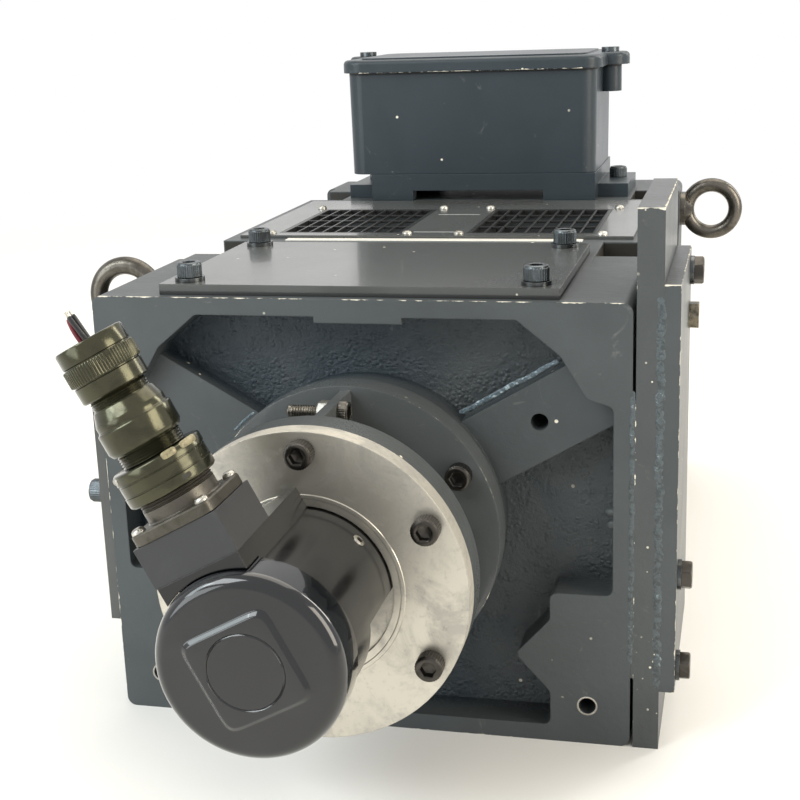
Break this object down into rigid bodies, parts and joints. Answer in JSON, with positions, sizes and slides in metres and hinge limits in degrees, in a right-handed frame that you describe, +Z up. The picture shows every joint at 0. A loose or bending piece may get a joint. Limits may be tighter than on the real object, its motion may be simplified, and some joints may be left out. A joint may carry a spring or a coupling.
{
  "type": "dc motor",
  "caption": "Square-frame direct-current motor with a ribbed end shield, brush covers, terminal box, lifting eyes and a shaft encoder with its connector",
  "frame": {"origin": "centre of the drive-end mounting face, on the shaft axis", "axes": "+Y out along the drive shaft, +Z up through the terminal box, +X right seen from the encoder end"},
  "size_m": [0.287, 0.5737, 0.2615],
  "materials": {
    "frame_paint": "semi-gloss slate grey paint over casting",
    "cover_paint": "glossy slate grey paint on flat plate",
    "pad_paint": "semi-gloss slate grey paint, rough at the welded edge",
    "box_paint": "smooth slate grey paint",
    "panel_paint": "glossy dark paint on sheet",
    "grille_paint": "black paint",
    "bell_paint": "semi-gloss dark paint",
    "oxide_steel": "black oxide",
    "zinc_steel": "dull zinc",
    "eye_steel": "dark forged steel",
    "shaft_steel": "ground steel",
    "core_steel": "varnished sheet steel",
    "turned_aluminium": "turned, cloudy handling marks",
    "encoder_black": "glossy dark grey enamel",
    "block_black": "semi-gloss black",
    "olive_shell": "olive drab plating",
    "seal_rubber": "matte black",
    "board_plastic": "brown moulded board",
    "stud_brass": "bare brass",
    "carbon": "matte graphite",
    "winding": "varnished copper wire",
    "copper": "skimmed copper",
    "wire_skin": "cut insulated wire"
  },
  "bodies": {
    "housing": {"nde_end_shield": "frame_paint", "stator_yoke": "frame_paint", "frame_corners": "frame_paint", "de_end_shield": "frame_paint", "nde_shield_bolts": "oxide_steel", "de_shield_bolts": "oxide_steel", "top_brush_cover": "cover_paint", "top_cover_gasket": "seal_rubber", "left_brush_cover": "cover_paint", "left_cover_gasket": "seal_rubber", "cover_screws": "oxide_steel", "washers": "zinc_steel", "side_plate": "frame_paint", "side_pad": "pad_paint", "side_bolts": "oxide_steel", "earth_screw": "zinc_steel", "eyebolt_left": "eye_steel", "eyebolt_right": "eye_steel", "vent_panel": "panel_paint", "vent_grilles": "grille_paint", "vent_screws": "zinc_steel", "terminal_riser": "box_paint", "riser_bolts": "oxide_steel", "terminal_box": "box_paint", "lid_gasket": "seal_rubber", "terminal_lid": "box_paint", "lid_screws": "oxide_steel", "terminal_board": "board_plastic", "terminal_studs": "stud_brass", "brush_rocker": "board_plastic", "brush_holders": "stud_brass", "brush_springs": "zinc_steel", "nde_bearing_outer": "shaft_steel", "de_bearing_outer": "shaft_steel", "main_poles": "core_steel", "field_coils": "winding", "interpoles": "core_steel", "interpole_coils": "winding", "encoder_bell": "bell_paint", "bell_screws": "oxide_steel", "cross_screw": "zinc_steel", "adapter_ring": "turned_aluminium", "adapter_screws": "oxide_steel", "encoder_body": "encoder_black", "encoder_cap": "encoder_black", "connector_block": "block_black", "receptacle": "olive_shell", "flange_screws": "zinc_steel", "backshell": "olive_shell", "clamp_nut": "olive_shell", "wire_tails": "wire_skin"},
    "rotor": {"rotor_shaft": "shaft_steel", "armature_core": "core_steel", "armature_winding": "winding", "commutator": "copper", "nde_bearing_inner": "shaft_steel", "de_bearing_inner": "shaft_steel"},
    "top_brush": {"brush_top": "carbon"},
    "left_brush": {"brush_left": "carbon"},
    "right_brush": {"brush_right": "carbon"},
    "bottom_brush": {"brush_bottom": "carbon"},
    "connector_nut": {"coupling_nut": "olive_shell"}
  },
  "joints": [
    {"name": "rotor_spin", "type": "hinge", "parent": "housing", "child": "rotor", "pos_m": [0, 0, 0], "axis": [0, 1, 0], "continuous": true},
    {"name": "top_brush_slide", "type": "slide", "parent": "housing", "child": "top_brush", "axis": [0, 0, 1], "range_m": [0, 0.006], "stiffness_N_per_m": 30, "springref_m": -0.003, "deforming": ["brush_springs"]},
    {"name": "left_brush_slide", "type": "slide", "parent": "housing", "child": "left_brush", "axis": [-1, 0, 0], "range_m": [0, 0.006], "stiffness_N_per_m": 30, "springref_m": -0.003, "deforming": ["brush_springs"]},
    {"name": "right_brush_slide", "type": "slide", "parent": "housing", "child": "right_brush", "axis": [1, 0, 0], "range_m": [0, 0.006], "stiffness_N_per_m": 30, "springref_m": -0.003, "deforming": ["brush_springs"]},
    {"name": "bottom_brush_slide", "type": "slide", "parent": "housing", "child": "bottom_brush", "axis": [0, 0, -1], "range_m": [0, 0.006], "stiffness_N_per_m": 30, "springref_m": -0.003, "deforming": ["brush_springs"]},
    {"name": "coupling_nut_spin", "type": "hinge", "parent": "housing", "child": "connector_nut", "pos_m": [-0.0308, -0.492, 0.05792], "axis": [-0.4695, 0, 0.8829], "continuous": true}
  ]
}
